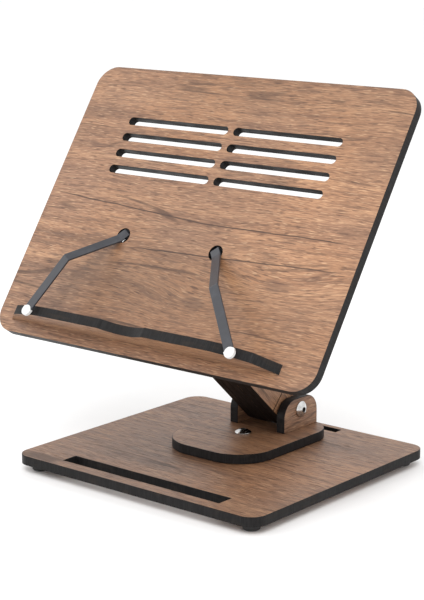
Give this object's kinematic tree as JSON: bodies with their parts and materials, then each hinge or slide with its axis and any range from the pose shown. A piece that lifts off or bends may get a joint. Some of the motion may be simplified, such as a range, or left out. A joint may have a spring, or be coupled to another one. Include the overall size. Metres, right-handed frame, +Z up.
{
  "type": "tilting book stand",
  "caption": "Swivelling, tilting book stand: slotted base, turntable, five-board tilting arm, slotted reading panel with a ledge and two page holders.",
  "frame": {"origin": "middle of the whole outline, on the surface that the rubber feet stand on", "axes": "+X to the reader's right, -Y towards the reader, +Z up"},
  "size_m": [0.326, 0.2366, 0.3193],
  "materials": {
    "walnut_board": "satin walnut laminate",
    "dark_board": "stained board edges",
    "nickelled_steel": "satin nickel",
    "black_washer": "matte",
    "white_glide": "matte",
    "black_rubber": "matte",
    "black_strip": "semi-gloss black",
    "white_cap": "satin"
  },
  "bodies": {
    "base": {"base_plate": "walnut_board", "rubber_feet": "black_rubber", "swivel_bolt": "nickelled_steel", "swivel_sleeve_nut": "nickelled_steel", "swivel_washer": "white_glide"},
    "turntable": {"turntable_plate": "walnut_board", "lower_ear_left": "walnut_board", "lower_ear_right": "walnut_board", "lower_tilt_bolt": "nickelled_steel", "lower_tilt_sleeve_nut": "nickelled_steel"},
    "arm": {"arm_core_left": "dark_board", "arm_core_centre": "dark_board", "arm_core_right": "dark_board", "arm_cheek_left": "walnut_board", "arm_cheek_right": "walnut_board", "arm_pads_lower": "walnut_board", "arm_pads_upper": "walnut_board", "lower_tilt_washers": "black_washer", "upper_tilt_washers": "black_washer"},
    "panel": {"panel": "walnut_board", "mount_plate": "walnut_board", "mount_plate_screws": "nickelled_steel", "upper_ear_left": "walnut_board", "upper_ear_right": "walnut_board", "upper_tilt_bolt": "nickelled_steel", "upper_tilt_sleeve_nut": "nickelled_steel", "ledge": "walnut_board", "ledge_screws": "nickelled_steel"},
    "left_holder": {"page_holder_left": "black_strip", "page_holder_tip_left": "white_cap"},
    "right_holder": {"page_holder_right": "black_strip", "page_holder_tip_right": "white_cap"}
  },
  "joints": [
    {"name": "swivel", "type": "hinge", "parent": "base", "child": "turntable", "pos_m": [0, 0.03082, 0.0189], "axis": [0, 0, 1], "continuous": true},
    {"name": "arm_tilt", "type": "hinge", "parent": "turntable", "child": "arm", "pos_m": [0, 0.07232, 0.03965], "axis": [1, 0, 0], "range_deg": [-60, 25]},
    {"name": "panel_tilt", "type": "hinge", "parent": "arm", "child": "panel", "pos_m": [0, -0.03901, 0.14166], "axis": [1, 0, 0], "range_deg": [-70, 22]},
    {"name": "left_holder_swing", "type": "hinge", "parent": "panel", "child": "left_holder", "pos_m": [-0.0655, -0.04332, 0.19396], "axis": [0, -0.83, 0.5577], "range_deg": [-15, 6]},
    {"name": "right_holder_swing", "type": "hinge", "parent": "panel", "child": "right_holder", "pos_m": [0.0323, -0.04466, 0.19197], "axis": [0, -0.83, 0.5577], "range_deg": [-6, 15]}
  ]
}
